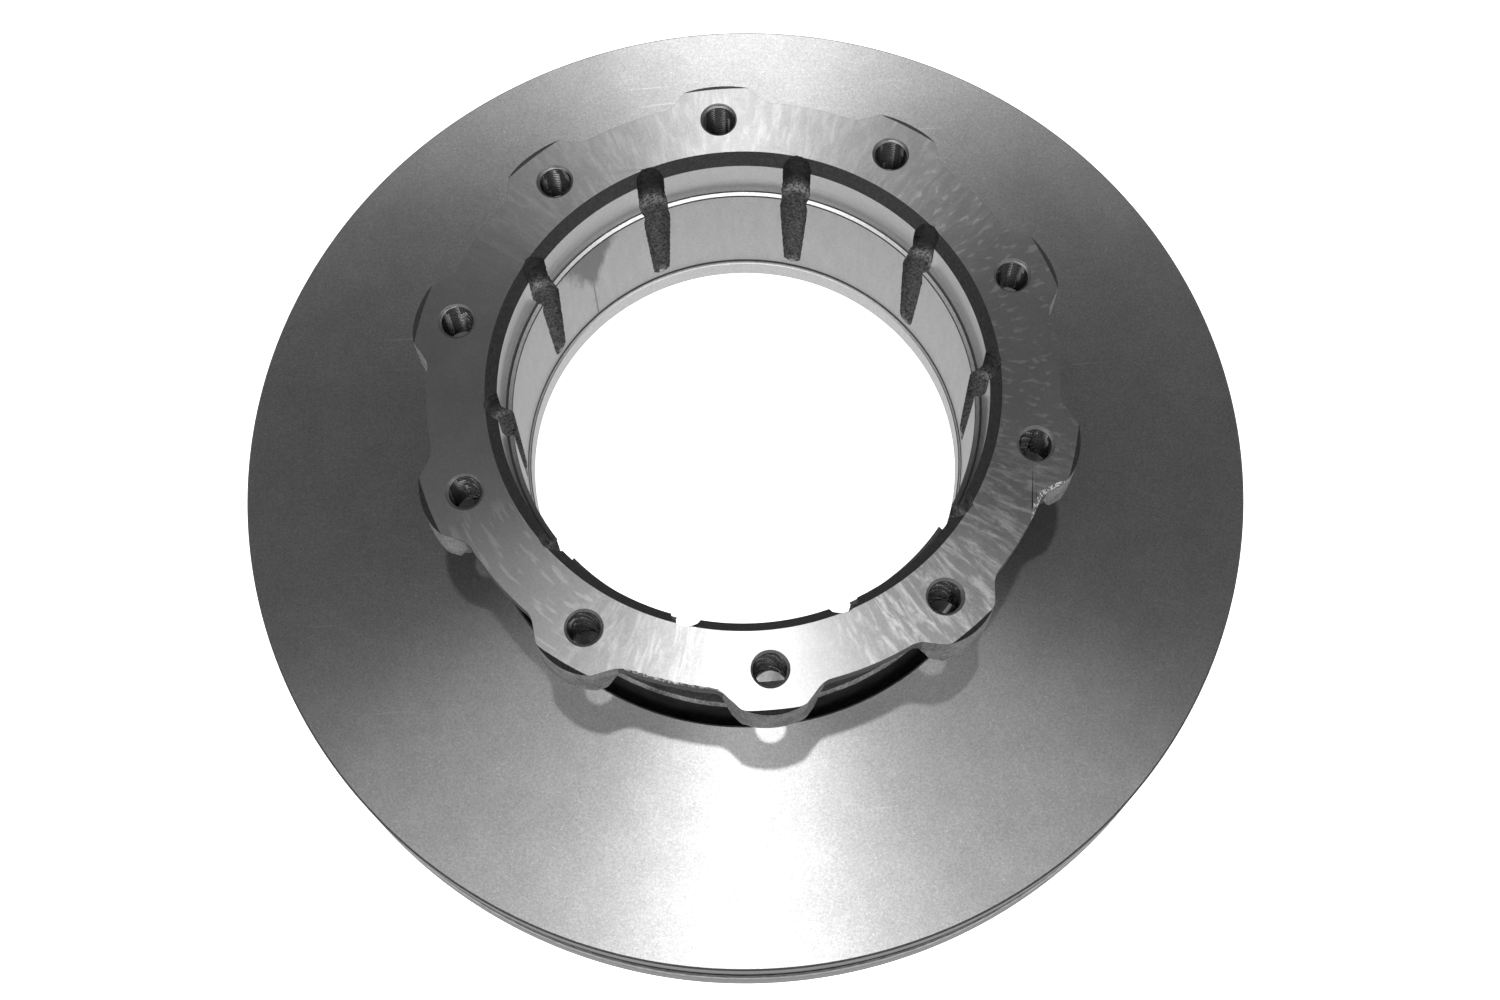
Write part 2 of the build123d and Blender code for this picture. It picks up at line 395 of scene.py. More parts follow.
def far_friction_plate():
    """Plate on the far side, which the neck's root carries."""
    profile = [
        (FAR_IN_R, 0, "hidden"),
        (FAR_IN_R, VENT_FLOOR, "cast"),
        # the vent floor's outer edge takes painted shade
        (DISC_R - RIM_SHADE_W, VENT_FLOOR, "rim_shade"),
        (DISC_R - RIM_CAST_R, VENT_FLOOR, "rim_shade"),
    ]
    edge = tangent_arc((DISC_R - RIM_CAST_R, VENT_FLOOR), (1, 0), (DISC_R, VENT_FLOOR - RIM_CAST_R), 4)
    # the second step of the edge's arc takes a painted highlight
    profile += [(*point, "rim_edge" if number == 1 else "rim") for number, point in enumerate(edge)]
    profile += [
        (DISC_R, RIM_BEVEL, "bevel"),
        (DISC_R - RIM_BEVEL, 0, "friction"),
    ]
    shell = turned_shell(profile, RIM_ROUND)
    shell.build("far_plate_iron", ["far_friction_plate"], "ground_friction")


def vane_outline(inner_r, grow):
    """Plan of a vane on +X, rounded at both ends, grown sideways by a distance."""
    half_in, half_out = VANE_IN_W / 2 + grow, VANE_OUT_W / 2 + grow
    inner_c, outer_c = inner_r + VANE_IN_W / 2, VANE_OUT_R - VANE_OUT_W / 2
    side_steps = round((outer_c - inner_c) / 2.5)
    turn = math.pi / 2 + math.asin((half_out - half_in) / (outer_c - inner_c))

    def end(centre, half, start, stop, steps):
        angles = [blend(start, stop, step / steps) for step in range(steps + 1)]
        return [(centre + half * math.cos(angle), half * math.sin(angle)) for angle in angles]

    def side(start, stop):
        start, stop = Vector(start), Vector(stop)
        return [tuple(blend(start, stop, step / side_steps)) for step in range(1, side_steps)]

    outer = end(outer_c, half_out, -turn, turn, 10)
    inner = end(inner_c, half_in, turn, math.tau - turn, 8)
    return outer + side(outer[-1], inner[0]) + inner + side(inner[-1], outer[0])


def vane(name, node, inner_r, angle):
    """One cast vane, flared where it runs into the two plates."""
    shell = Shell()
    rows = 10
    loops = []
    turn = Matrix.Rotation(angle, 3, "Z")
    for row in range(rows + 1):
        z = blend(VENT_FLOOR, VENT_TOP, row / rows)
        edge = min(z - VENT_FLOOR, VENT_TOP - z)
        reach = max(VANE_FILLET - edge, 0.0)
        flare = VANE_FILLET - math.sqrt(VANE_FILLET**2 - reach**2)
        points = []
        for x, y in vane_outline(inner_r, flare * 0.6):
            point = turn @ Vector((x, y, z))
            bump = 0.35 * noise.fractal(point / 2.4, 0.8, 2.1, 3) * min(edge, 1.0)
            centre = turn @ Vector((min(max(x, inner_r + 4), VANE_OUT_R - 5), 0, z))
            points.append(point + (point - centre).normalized() * bump)
        loops.append(shell.loop(points))
    for low, high in zip(loops, loops[1:]):
        shell.strip(low, high, "vane")
    shell.face(tuple(reversed(loops[0])), "vane")
    shell.face(tuple(loops[-1]), "vane")
    shell.build(name, [node], "cast_vane")


def vanes():
    step = math.tau / LONG_VANES
    for number in range(LONG_VANES):
        tag = f"{number + 1:02d}"
        vane(f"long_web_{tag}", f"long_vane_{tag}", VANE_IN_R, number * step)
        vane(f"short_web_{tag}", f"short_vane_{tag}", SHORT_VANE_IN_R, (number + 0.5) * step)


# ---- neck

def root_outside():
    """Outside of the root, from the zone border down into the vent."""
    start = (NECK_R, ROOT_SPLIT)
    shoulder_top = (NECK_R, ROOT_TOP + ROOT_SHOULDER)
    root_foot = (ROOT_R, VENT_FLOOR + ROOT_FILLET)
    return [
        start,
        shoulder_top,
        *tangent_arc(shoulder_top, (0, -1), (ROOT_R, ROOT_TOP), 5),
        root_foot,
        *tangent_arc(root_foot, (0, -1), (ROOT_R + ROOT_FILLET, VENT_FLOOR), 6),
    ]


def neck_root():
    """Root of the neck, with the lip and the flared foot of the bore."""
    lip_top = (LIP_TOP_R, LIP_TOP)
    bore_foot = (BORE_R, LIP_TOP + LIP_FILLET)
    fillet = list(reversed(tangent_arc(bore_foot, (0, -1), lip_top, 6)))
    outside = [
        # a narrow band of the shoulder takes painted light, the rest of the root's outside painted
        # shade
        (r, z, "shoulder" if LIT_SHOULDER_FOOT < z < LIT_SHOULDER_TOP else "web_edge")
        for r, z in root_outside()
    ]
    profile = [
        (BORE_R, ROOT_SPLIT, "hidden"),
        *outside,
        (FAR_IN_R, VENT_FLOOR, "hidden"),
        (FAR_IN_R, FOOT_Z, "cast"),
        (FOOT_IN_R, FOOT_Z, "cast"),
        (LIP_R, LIP_Z, "lip"),
        (*lip_top, "ledge"),
        *with_finish(fillet[1:3], "lip"),
        *with_finish(fillet[3:], "ledge_step"),
        (*bore_foot, "bore"),
    ]
    shell = turned_shell(profile, LUGS * (GROOVE_STEPS + LAND_STEPS))
    shell.build("root_iron", ["neck_root"], "neck_iron")


def barrel_outside():
    """Outside of the barrel, from the zone border under the flange down to the root."""
    collar_foot = (COLLAR_R, COLLAR_Z)
    middle = ((COLLAR_R + NECK_R) / 2, COLLAR_Z - COLLAR_SLOPE / 2)
    barrel_top = (NECK_R, COLLAR_Z - COLLAR_SLOPE)
    upper = tangent_arc(collar_foot, (0, -1), middle, 5)
    lower = list(reversed(tangent_arc(barrel_top, (0, 1), middle, 5)))
    return [(COLLAR_R, FLANGE_SPLIT), collar_foot, *upper, *lower[1:], barrel_top, (NECK_R, ROOT_SPLIT)]


def groove_circle(z):
    """Axis radius and radius of a groove's round section at a height, or None below its end."""
    if z >= GROOVE_STEP_Z:
        return GROOVE_AXIS_R, GROOVE_R
    if z >= GROOVE_SLOPE_Z:
        share = (GROOVE_STEP_Z - z) / (GROOVE_STEP_Z - GROOVE_SLOPE_Z)
        return blend(GROOVE_AXIS_R, GROOVE_LOW_AXIS_R, share), GROOVE_R
    if z >= GROOVE_END_Z:
        share = (GROOVE_SLOPE_Z - z) / (GROOVE_SLOPE_Z - GROOVE_END_Z)
        return blend(GROOVE_LOW_AXIS_R, GROOVE_END_AXIS_R, share), blend(GROOVE_R, GROOVE_END_R, share)
    below = GROOVE_END_Z - z
    if below >= GROOVE_END_R:
        return None
    return GROOVE_END_AXIS_R, math.sqrt(GROOVE_END_R**2 - below**2)


def groove_half(wall_r, z, middle=0.0):
    """Half of a groove's rim in the bore at a height: the angles round its own axis and the bore's."""
    circle = groove_circle(z)
    if circle is None or circle[0] + circle[1] <= wall_r + 0.01:
        return None
    axis_r, radius = circle
    wander = noise.noise(Vector((7 * middle, 0, z / 1.3)))
    radius += 0.4 * wander * ramp(axis_r + radius - wall_r, 0.3, 1.5)
    swing = math.acos((wall_r**2 - axis_r**2 - radius**2) / (2 * axis_r * radius))
    half = math.atan2(radius * math.sin(swing), axis_r + radius * math.cos(swing))
    return axis_r, radius, swing, max(half, GROOVE_SEAM)


def groove_points(wall_r, z, middle):
    """A groove's wall at a height, rough as cast, from one rim to the other."""
    found = groove_half(wall_r, z, middle)
    points = []
    for step in range(GROOVE_STEPS + 1):
        across = 2 * step / GROOVE_STEPS - 1
        if found is None:
            points.append(polar(wall_r, middle + across * GROOVE_SEAM, z))
            continue
        axis_r, radius, swing, _ = found
        turn = Matrix.Rotation(middle, 3, "Z")
        outward = turn @ polar(1, across * swing, 0)
        point = turn @ Vector((axis_r, 0, z)) + outward * radius
        rough = noise.fractal(point / 1.7, 0.7, 2.1, 3)
        window = 1 - abs(across) ** 5
        points.append(point + outward * (0.45 * rough * window))
    return points


def bore_loop(shell, wall_r, z):
    """One loop of the bore with its ten grooves. It starts at the middle of a groove."""
    middles = [FIRST_HOLE - PITCH / 2 + number * PITCH for number in range(LUGS)]
    found = [groove_half(wall_r, z, middle) for middle in middles]
    halves = [entry[3] if entry else GROOVE_SEAM for entry in found]
    points = []
    for number, middle in enumerate(middles):
        following = (number + 1) % LUGS
        start, end = middle + halves[number], middle + PITCH - halves[following]
        points += groove_points(wall_r, z, middle)[GROOVE_STEPS // 2:]
        land = [blend(start, end, step / LAND_STEPS) for step in range(1, LAND_STEPS)]
        points += [polar(wall_r, angle, z) for angle in land]
        points += groove_points(wall_r, z, middles[following])[:GROOVE_STEPS // 2]
    return shell.loop(points)


def bore_wall(shell, profile):
    """The bore's wall through a list of section points. Faces in a groove are rough."""
    sector = GROOVE_STEPS + LAND_STEPS
    edge = GROOVE_STEPS // 2
    loops = [bore_loop(shell, r, z) for r, z, _ in profile]
    for low, high, (r, z, finish) in zip(loops, loops[1:], profile):
        def grooved_finish(here):
            in_groove = here % sector < edge or here % sector >= sector - edge
            return "groove" if in_groove else finish

        shell.strip(low, high, grooved_finish if groove_half(r, z) else finish)
    return loops[0], loops[-1]


def steps_between(start, end, step):
    """Section points from start up to, but not with, end."""
    count = max(1, round(math.dist(start[:2], end[:2]) / step))
    return [
        (blend(start[0], end[0], k / count), blend(start[1], end[1], k / count), start[2])
        for k in range(count)
    ]


def neck_barrel():
    """Barrel of the neck: grooved bore inside, cast skin outside."""
    shell = Shell()
    inside = steps_between((BORE_R, ROOT_SPLIT, "bore"), (BORE_R, FLANGE_SPLIT), 1.0)
    low_in, high_in = bore_wall(shell, [*inside, (BORE_R, FLANGE_SPLIT, "bore")])
    section = refine(with_finish(barrel_outside(), "shaded"), closed=False)
    loops = [ring_loop(shell, point, lift, ROUND) for point, _, lift in section]
    for high, low in zip(loops, loops[1:]):
        shell.strip(high, low, "shaded")
    centre = Vector((0, 0, 0))
    shell.zip(low_in, loops[-1], centre, "hidden")
    shell.zip(high_in, loops[0], centre, "hidden")
    shell.build("barrel_iron", ["neck_barrel"], "neck_iron")


# ---- mounting flange

def arc_2d(centre, start, end, step):
    """Points from start to end on a circle round centre, the short way, without the last."""
    first, last = start - centre, end - centre
    turn = -first.angle_signed(last)
    count = max(2, round(abs(turn) * first.length / step))
    return [centre + Matrix.Rotation(turn * k / count, 2) @ first for k in range(count)]


def crossings(start, along, radius):
    """Distances from start along a unit direction to a circle of this radius round the origin."""
    middle = start.dot(along)
    half = math.sqrt(middle**2 - start.length_squared + radius**2)
    return -middle + half, -middle - half


def half_lug():
    """Outline of the flange from the tip of the lug on +X to the middle of the next valley."""
    step = 1.1
    tip_c = Vector((FLANGE_R - TIP_ARC_R, 0))
    corner = Vector((tip_c.x + math.sqrt(TIP_ARC_R**2 - LUG_CORNER_X**2), LUG_CORNER_X))
    along = (LUG_FOOT - corner).normalized()
    out = Vector((along.y, -along.x))
    # Corner: a circle inside both the tip's arc and the flank
    line_point = corner - out * LUG_CORNER_FILLET
    travels = crossings(line_point - tip_c, along, TIP_ARC_R - LUG_CORNER_FILLET)
    corner_c = line_point + along * min(travels, key=abs)
    tip_end = tip_c + (corner_c - tip_c).normalized() * TIP_ARC_R
    flank_start = corner_c + out * LUG_CORNER_FILLET
    # Foot: a circle outside both the flank and the valley
    line_point = corner + out * LUG_FOOT_FILLET
    travels = crossings(line_point, along, VALLEY_R + LUG_FOOT_FILLET)
    foot_c = min((line_point + along * t for t in travels), key=lambda p: (p - LUG_FOOT).length)
    flank_end = foot_c - out * LUG_FOOT_FILLET
    valley_start = foot_c.normalized() * VALLEY_R
    valley_end = VALLEY_R * heading(PITCH / 2)
    flank_steps = max(2, round((flank_end - flank_start).length / step))
    flank = [blend(flank_start, flank_end, k / flank_steps) for k in range(flank_steps)]
    return [
        *arc_2d(tip_c, Vector((FLANGE_R, 0)), tip_end, step),
        *arc_2d(corner_c, tip_end, flank_start, step * 0.7),
        *flank,
        *arc_2d(foot_c, flank_end, valley_start, step),
        *arc_2d(Vector((0, 0)), valley_start, valley_end, step),
        valley_end,
    ]


def flange_outline():
    """The whole cast outline, anticlockwise from the middle of a valley."""
    half = half_lug()
    lug = [Vector((p.x, -p.y)) for p in reversed(half[1:])] + half[:-1]
    outline = []
    for number in range(LUGS):
        turn = Matrix.Rotation(FIRST_HOLE + number * PITCH, 2)
        outline += [turn @ p for p in lug]
    return outline


def rise(angle, radius):
    """How far the underside stands up between the bosses, at a bearing and a radius."""
    off = (angle - FIRST_HOLE + PITCH / 2) % PITCH - PITCH / 2
    share = min(max((radius - COLLAR_R) / (VALLEY_R - COLLAR_R), 0.0), 1.0)
    half = blend(BOSS_ROOT_HALF_W, BOSS_HALF_W, share)
    aside = abs(radius * math.sin(off))
    return (TOP - WEB_T - UNDER_Z) * ramp(aside, half - BOSS_SLOPE_IN, half + BOSS_SLOPE_OUT)


def under_section(unrolled_r):
    """Underside of a boss and its fillet: true radius, height and outward normal."""
    start = COLLAR_R + FLANGE_FILLET
    if unrolled_r >= start:
        return unrolled_r, UNDER_Z, Vector((0, -1))
    bend = (start - unrolled_r) / FLANGE_FILLET
    radius = start - FLANGE_FILLET * math.sin(bend)
    height = UNDER_Z - FLANGE_FILLET * (1 - math.cos(bend))
    return radius, height, Vector((math.sin(bend), -math.cos(bend)))


def unroll(radius):
    """The radius that under_section takes, from the true one."""
    start = COLLAR_R + FLANGE_FILLET
    if radius >= start:
        return radius
    return start - FLANGE_FILLET * math.asin(min((start - radius) / FLANGE_FILLET, 1.0))


def under_point(flat):
    """Point of the rough underside over a point of its unrolled plan."""
    angle = math.atan2(flat.y, flat.x)
    radius, height, normal = under_section(flat.length)
    height += rise(angle, radius)
    lift = skin(polar(radius, angle, height))
    return polar(radius + normal.x * lift, angle, height + normal.y * lift)


def under_plan(x, y):
    """A true plan point on the unrolled plan of the underside."""
    true = Vector((x, y))
    return true.normalized() * unroll(true.length)


def thread_r(angle, z):
    """Radius of the tapped hole's wall: a 60-degree thread, opened by the chamfered mouth."""
    phase = (z / THREAD_PITCH - angle / math.tau) % 1.0
    height = 1 - abs(2 * phase - 1)
    depth = min(max((height - THREAD_CREST) / THREAD_FLANK, 0.0), 1.0)
    wall = blend(THREAD_MINOR_R, THREAD_MAJOR_R, depth)
    return max(wall, HOLE_MOUTH_R - (TOP - z))


HOLE_ANGLES = [math.tau * k / HOLE_STEPS for k in range(HOLE_STEPS)]


def hole_point(middle, angle, z):
    centre = polar(BOLT_CIRCLE_R, middle, z)
    return centre + thread_r(angle, z) * polar(1, middle + angle, 0)


# The hole's flat end meets the flange's fillet at this radius
FLOOR_DROP = HOLE_FLOOR - UNDER_Z + FLANGE_FILLET
FLOOR_R = COLLAR_R + FLANGE_FILLET - math.sqrt(FLANGE_FILLET**2 - FLOOR_DROP**2)


def hole_exit(middle, angle):
    """Where a hole opens in the underside, on its unrolled plan, and whether a floor stops its wall."""
    z = UNDER_Z
    for _ in range(4):
        point = hole_point(middle, angle, z)
        z = max(under_section(unroll(math.hypot(point.x, point.y)))[1], HOLE_FLOOR)
    axis = heading(middle)
    across = point.y * axis.x - point.x * axis.y
    floored = math.hypot(point.x, point.y) < FLOOR_R
    if floored:
        point = axis * math.sqrt(FLOOR_R**2 - across**2) + Vector((-axis.y, axis.x)) * across
    return under_plan(point.x, point.y), floored


# Where the turning tool left a ragged burr: object angles in degrees, from and to, and its width
BURRS = ((-115.5, -99.0, 0.6), (-31.5, -24.0, 1.5))


def burred(point):
    """Width of the burr at a plan point of the outline, 0 nearly everywhere."""
    angle = math.degrees(math.atan2(point.y, point.x))
    return max(
        width * ramp(angle, low - 1, low + 1) * ramp(-angle, -high - 1, 1 - high)
        for low, high, width in BURRS
    )


def outline_rows(shell, outline):
    """The flange's outer wall from the top face down to the underside's edge."""
    count = len(outline)
    normals = []
    for here in range(count):
        along = outline[(here + 1) % count] - outline[here - 1]
        normals.append(Vector((along.y, -along.x)).normalized())
    wall_rows = 13
    bend_rows = 4
    edge, chamfer = [], []
    walls = [[] for _ in range(wall_rows + bend_rows)]
    kinds = []
    for point, normal in zip(outline, normals):
        place = Vector((point.x, point.y, TOP))
        burr = burred(point)
        ragged = (EDGE_BREAK + burr) * (1 + 0.8 * noise.noise(place / 1.1))
        from_centre = point - TURNING_CENTRE
        beyond = from_centre.length - TURNED_R
        drop = max(beyond, 0.0) + ragged
        marked = "burr" if burr > LEAST_MARK else "web_edge"
        kinds.append("turned_chamfer" if beyond > LEAST_MARK else marked)
        inward = from_centre.normalized() * drop if drop > 1 else normal * drop
        lower = UNDER_Z + rise(math.atan2(point.y, point.x), point.length)
        edge.append(Vector((*(point - inward), TOP)))
        chamfer.append(Vector((*point, TOP - drop)))
        for row in range(wall_rows + bend_rows):
            if row < wall_rows:
                z = blend(TOP - drop, lower + EDGE_CAST_R, (row + 1) / wall_rows)
                inset, lift = 0.0, Vector((normal.x, normal.y, 0))
            else:
                bend = math.pi / 2 * (row - wall_rows + 1) / bend_rows
                z = lower + EDGE_CAST_R * (1 - math.sin(bend))
                inset = EDGE_CAST_R * (1 - math.cos(bend))
                lift = Vector((normal.x * math.cos(bend), normal.y * math.cos(bend), -math.sin(bend)))
            flat = point - normal * inset
            base = Vector((flat.x, flat.y, z))
            if row == wall_rows + bend_rows - 1:
                walls[row].append(under_point(under_plan(flat.x, flat.y)))
            else:
                walls[row].append(base + lift * skin(base) * ramp(TOP - drop - z, 0.0, 1.5))
    loops = [shell.loop(edge), shell.loop(chamfer)] + [shell.loop(row) for row in walls]

    def edge_finish(here):
        return kinds[(here + 1) % count] if kinds[here] == "web_edge" else kinds[here]

    def wall_finish(here):
        # the valley walls take the very dark cast tone as painted shade under the thin web
        return "web_edge" if outline[here].length < VALLEY_R + 1.2 else "cast"

    shell.strip(loops[0], loops[1], edge_finish)
    for high, low in zip(loops[1:], loops[2:]):
        shell.strip(high, low, wall_finish)
    return loops[0], loops[-1]


def sector_borders(shell, inner, outer, at):
    """Closed borders of the lugs' sectors between two loops, each split by a line along its valley.
    A border runs along the outer edge, the far side, the inner edge and the near side."""
    inner_step, outer_step = len(inner) // LUGS, len(outer) // LUGS
    lines = []
    for number in range(LUGS):
        start = shell.points[inner[number * inner_step]]
        end = shell.points[outer[number * outer_step]]
        lines.append(shell.loop([at(start, end, k / VALLEY_STEPS) for k in range(1, VALLEY_STEPS)]))
    borders = []
    for number in range(LUGS):
        after = lines[(number + 1) % LUGS]
        outside = [outer[(number * outer_step + k) % len(outer)] for k in range(outer_step + 1)]
        inside = [inner[(number * inner_step + k) % len(inner)] for k in range(inner_step + 1)]
        borders.append(outside + after[::-1] + inside[::-1] + lines[number])
    return borders


def top_face(shell, bore_edge, outline_edge):
    """The flat turned face, in ten sectors round the hole mouths. Returns the mouths' loops."""
    mouths = []
    for number, border in enumerate(sector_borders(shell, bore_edge, outline_edge, blend)):
        middle = FIRST_HOLE + number * PITCH
        mouth = shell.loop([hole_point(middle, angle, TOP) for angle in HOLE_ANGLES])
        shell.zip(mouth, border, polar(BOLT_CIRCLE_R, middle, TOP), "face")
        mouths.append(mouth)
    return mouths


def ray_hit(origin, direction, border):
    """Distance from origin along direction to a closed border of plan points."""
    best = math.inf
    for a, b in zip(border, border[1:] + border[:1]):
        side = b - a
        cross = direction.x * side.y - direction.y * side.x
        if abs(cross) < 1e-9:
            continue
        gap = a - origin
        along = (gap.x * side.y - gap.y * side.x) / cross
        share = (gap.x * direction.y - gap.y * direction.x) / cross
        if along > 0 and -1e-6 <= share <= 1 + 1e-6:
            best = min(best, along)
    return best


def underside(shell, collar, outline_low):
    """The cast underside in ten sectors round the holes. Returns the holes' exit loops."""
    def along(start, end, share):
        a, b = under_plan(start.x, start.y), under_plan(end.x, end.y)
        return under_point(blend(a, b, share))

    exits = []
    for number, border in enumerate(sector_borders(shell, collar, outline_low, along)):
        middle = FIRST_HOLE + number * PITCH
        plan = [under_plan(shell.points[k].x, shell.points[k].y) for k in border]
        centre = heading(middle) * unroll(EXIT_CENTRE_R)
        starts = [hole_exit(middle, angle)[0] for angle in HOLE_ANGLES]
        ends = []
        for start in starts:
            direction = (start - centre).normalized()
            ends.append(centre + direction * ray_hit(centre, direction, plan))
        loops = []
        for row in range(UNDER_ROWS):
            share = row / UNDER_ROWS
            loops.append(shell.loop([under_point(blend(a, b, share)) for a, b in zip(starts, ends)]))
        for low, high in zip(loops, loops[1:]):
            shell.strip(low, high, "cast")
        shell.zip(loops[-1], border, polar(EXIT_CENTRE_R, middle, 0), "cast")
        exits.append(loops[0])
    return exits


def threads(shell, mouths, exits):
    """The walls of the tapped holes, from the mouths down to the underside or the hole's floor."""
    rows = round((TOP - UNDER_Z) / THREAD_PITCH * THREAD_ROWS)
    for number in range(LUGS):
        middle = FIRST_HOLE + number * PITCH
        bottom = []
        for angle, end in zip(HOLE_ANGLES, exits[number]):
            if hole_exit(middle, angle)[1]:
                bottom += shell.loop([hole_point(middle, angle, HOLE_FLOOR)])
            else:
                bottom.append(end)
        loops = [mouths[number]]
        for row in range(1, rows):
            points = []
            for angle, end in zip(HOLE_ANGLES, bottom):
                z = blend(TOP, shell.points[end].z, row / rows)
                points.append(hole_point(middle, angle, z))
            loops.append(shell.loop(points))
        loops.append(bottom)
        for high, low in zip(loops, loops[1:]):
            def wall_finish(here):
                z = (shell.points[high[here]].z + shell.points[low[here]].z) / 2
                if TOP - z < HOLE_MOUTH_R - THREAD_MINOR_R:
                    return "mouth"
                # the flanks take painted shade and the crests painted light
                wall = thread_r(math.tau * (here + 0.5) / HOLE_STEPS, z)
                return "crest" if wall < THREAD_MINOR_R + CREST_DEPTH else "thread"

            shell.strip(high, low, wall_finish)
        for here in range(HOLE_STEPS):
            after = (here + 1) % HOLE_STEPS
            ring = (bottom[here], bottom[after], exits[number][after], exits[number][here])
            corners = tuple(dict.fromkeys(ring))
            if len(corners) > 2:
                shell.face(corners, "hole_floor")


def mounting_flange():
    """The lugged flange: register, ledge and grooves inside, ten tapped holes, cast outside."""
    shell = Shell()
    land_end = (LEDGE_LAND_R, LEDGE_Z)
    register_foot = (REGISTER_R, REGISTER_BEND)
    fillet = list(reversed(tangent_arc(register_foot, (0, -1), land_end, 9)))
    register_top = (REGISTER_R, TOP - REGISTER_CHAMFER, "bore_chamfer")
    inside = [
        *steps_between((BORE_R, FLANGE_SPLIT, "bore"), (BORE_R, LEDGE_Z - LEDGE_BEVEL), 1.0),
        (BORE_R, LEDGE_Z - LEDGE_BEVEL, "ledge_step"),
        (BORE_R + LEDGE_STEP, LEDGE_Z - LEDGE_SLOPE, "ledge"),
        (*land_end, "ledge_step"),
        *with_finish(fillet[1:2], "ledge"),
        *with_finish(fillet[2:], "register"),
        *steps_between((*register_foot, "register"), register_top, 1.0),
        *steps_between(register_top, (REGISTER_R + REGISTER_CHAMFER, TOP), 1.0),
        (REGISTER_R + REGISTER_CHAMFER, TOP, "face"),
    ]
    low_in, top_in = bore_wall(shell, inside)
    top_out, low_out = outline_rows(shell, flange_outline())
    mouths = top_face(shell, top_in, top_out)
    bearings = [FIRST_HOLE - PITCH / 2 + math.tau * column / ROUND for column in range(ROUND)]
    collar = shell.loop([under_point(heading(a) * unroll(COLLAR_R)) for a in bearings])
    exits = underside(shell, collar, low_out)
    threads(shell, mouths, exits)
    lifts = [skin(polar(COLLAR_R, a, FLANGE_SPLIT)) for a in bearings]
    foot = shell.loop([polar(COLLAR_R + lift, a, FLANGE_SPLIT) for a, lift in zip(bearings, lifts)])
    shell.strip(collar, foot, "cast")
    shell.zip(low_in, foot, Vector((0, 0, 0)), "hidden")
    shell.build("flange_iron", ["mounting_flange"], "machined_flange")


# ---- materials

